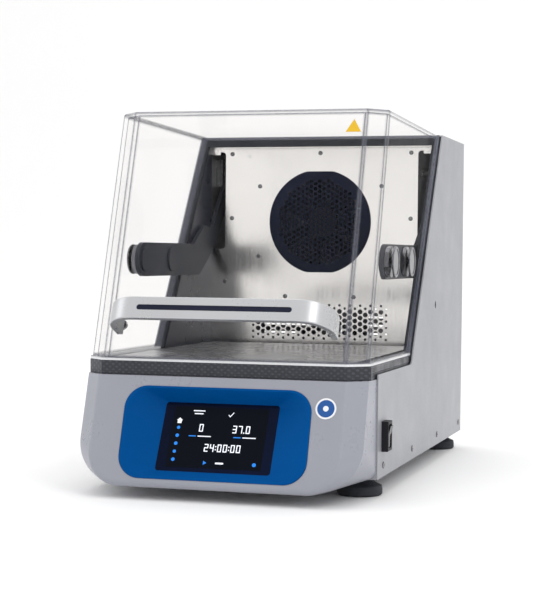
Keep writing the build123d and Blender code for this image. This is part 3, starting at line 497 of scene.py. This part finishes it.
def disc(name, node, normal, radius, lift, material, body):
    """A thin domed disc on the middle of a CAD node's face."""
    count = 48
    low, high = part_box(node)
    middle = (low + high) / 2
    side = normal.orthogonal().normalized()
    other = normal.cross(side)
    verts, faces = [middle + normal * (lift + 0.0001)], []
    rings = ((0.6, 0.0001), (0.94, 0.00008), (1.0, 0.0))
    for share, height in rings:
        for i in range(count):
            angle = 2 * math.pi * i / count
            verts.append(middle + side * radius * share * math.cos(angle)
                         + other * radius * share * math.sin(angle) + normal * (lift + height))
    faces += [(0, 1 + i, 1 + (i + 1) % count) for i in range(count)]
    for ring in range(len(rings) - 1):
        a, b = 1 + ring * count, 1 + (ring + 1) * count
        faces += [(a + i, b + i, b + (i + 1) % count, a + (i + 1) % count) for i in range(count)]
    return piece(name, verts, faces, material, body, node, smooth=True)


# a plain bar on the upper half of the switch's rocker
rocker_low, rocker_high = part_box("switch_rocker")
ROCKER_SLOPE = math.radians(13.1)
along = Vector((math.sin(ROCKER_SLOPE), 0, math.cos(ROCKER_SLOPE)))
proud = Vector((math.cos(ROCKER_SLOPE), 0, -math.sin(ROCKER_SLOPE)))
BAR_HALF_W, BAR_HALF_H, BAR_DOWN = 0.0009, 0.0032, 0.0064
rocker_top = Vector((rocker_high.x, (rocker_low.y + rocker_high.y) / 2, rocker_high.z))
bar_middle = rocker_top - along * BAR_DOWN
corners = [(sx * BAR_HALF_W, sy * BAR_HALF_H) for sx, sy in ((-1, -1), (1, -1), (1, 1), (-1, 1))]
bar = [bar_middle + Vector((0, u, 0)) + along * v + proud * lift
       for lift in (-0.0001, 0.00012) for u, v in corners]
bar_faces = [(0, 3, 2, 1), (4, 5, 6, 7)]
bar_faces += [(i, (i + 1) % 4, (i + 1) % 4 + 4, i + 4) for i in range(4)]
piece("rocker_mark", bar, bar_faces, film_white, "rocker", "switch_rocker")

# the round label's disc and dot, on the front cover's sloping face
COVER_LEAN = math.radians(18.0)
cover_out = Vector((0, -math.cos(COVER_LEAN), math.sin(COVER_LEAN)))
disc("label_blue_disc", "round_label", cover_out, 0.0112, 0.00026, film_blue, "housing")
disc("label_white_dot", "round_label", cover_out, 0.0036, 0.00042, film_white, "housing")


# ---- studio ---------------------------------------------------------------------
def backdrop():
    """A pale floor that curves up behind the object."""
    steps, reach, curve_start, curve_r, drop = 12, 9.0, 2.4, 1.2, 0.0005
    profile = [(-reach, 0.0)]
    for i in range(steps + 1):
        angle = math.radians(90 * i / steps)
        profile.append((curve_start + curve_r * math.sin(angle), curve_r - curve_r * math.cos(angle)))
    profile.append((curve_start + curve_r, 4.0))
    verts = [(x, y, z - drop) for y, z in profile for x in (-reach, reach)]
    faces = [(2 * i, 2 * i + 1, 2 * i + 3, 2 * i + 2) for i in range(len(profile) - 1)]
    mesh = bpy.data.meshes.new("studio_floor")
    mesh.from_pydata(verts, [], faces)
    for face in mesh.polygons:
        face.use_smooth = True
    item = bpy.data.objects.new("studio_floor", mesh)
    bpy.context.scene.collection.objects.link(item)
    m = Material("studio_paper")
    shader = m.add("BsdfPrincipled")
    m.link(m.blend(m.noise(2.0), (0.93, 0.93, 0.93), (0.95, 0.95, 0.95)), shader.inputs["Base Color"])
    shader.inputs["Roughness"].default_value = 0.9
    shader.inputs["Specular IOR Level"].default_value = 0.1
    m.link(shader.outputs[0], m.output.inputs["Surface"])
    mesh.materials.append(m.data)


def area_light(name, place, aim, size, power):
    data = bpy.data.lights.new(name, "AREA")
    data.shape = "RECTANGLE"
    data.size, data.size_y = size
    data.energy = power
    lamp = bpy.data.objects.new(name, data)
    lamp.location = place
    lamp.rotation_euler = (Vector(aim) - Vector(place)).to_track_quat("-Z", "Y").to_euler()
    bpy.context.scene.collection.objects.link(lamp)


backdrop()
area_light("key", (2.2, -1.7, 2.3), (0, 0, 0.25), (1.2, 1.2), 14)
area_light("side", (-2.6, -0.5, 1.5), (0, 0, 0.25), (1.2, 1.6), 6)
area_light("top", (0.0, 0.2, 2.8), (0, 0, 0.2), (2.0, 2.0), 12)
area_light("back", (0.0, 2.0, 1.8), (0, 0.3, 0.3), (2.0, 1.0), 8)

world = bpy.data.worlds.new("studio_world")
world.use_nodes = True
sky = world.node_tree.nodes["Background"]
sky.inputs["Color"].default_value = (1, 1, 1, 1)
sky.inputs["Strength"].default_value = 1.0
bpy.context.scene.world = world
bpy.context.scene.view_settings.view_transform = "Standard"

# the photo's view, from a camera fitted to the housing's straight edges
CAMERA_AT = (0.632, -2.26228, 0.31239)
camera_data = bpy.data.cameras.new("camera")
camera_data.lens = 96.0
camera_data.sensor_width = 36.0
camera_data.clip_end = 50.0
camera = bpy.data.objects.new("camera", camera_data)
yaw, pitch, roll = math.radians(16.06), math.radians(1.6), math.radians(0.56)
forward = Vector((-math.sin(yaw) * math.cos(pitch), math.cos(yaw) * math.cos(pitch), -math.sin(pitch)))
right_level = Vector((math.cos(yaw), math.sin(yaw), 0))
up_level = right_level.cross(forward)
right = math.cos(roll) * right_level + math.sin(roll) * up_level
upward = -math.sin(roll) * right_level + math.cos(roll) * up_level
turn = Matrix((right, upward, -forward)).transposed().to_4x4()
camera.matrix_world = Matrix.Translation(CAMERA_AT) @ turn
bpy.context.scene.collection.objects.link(camera)
bpy.context.scene.camera = camera
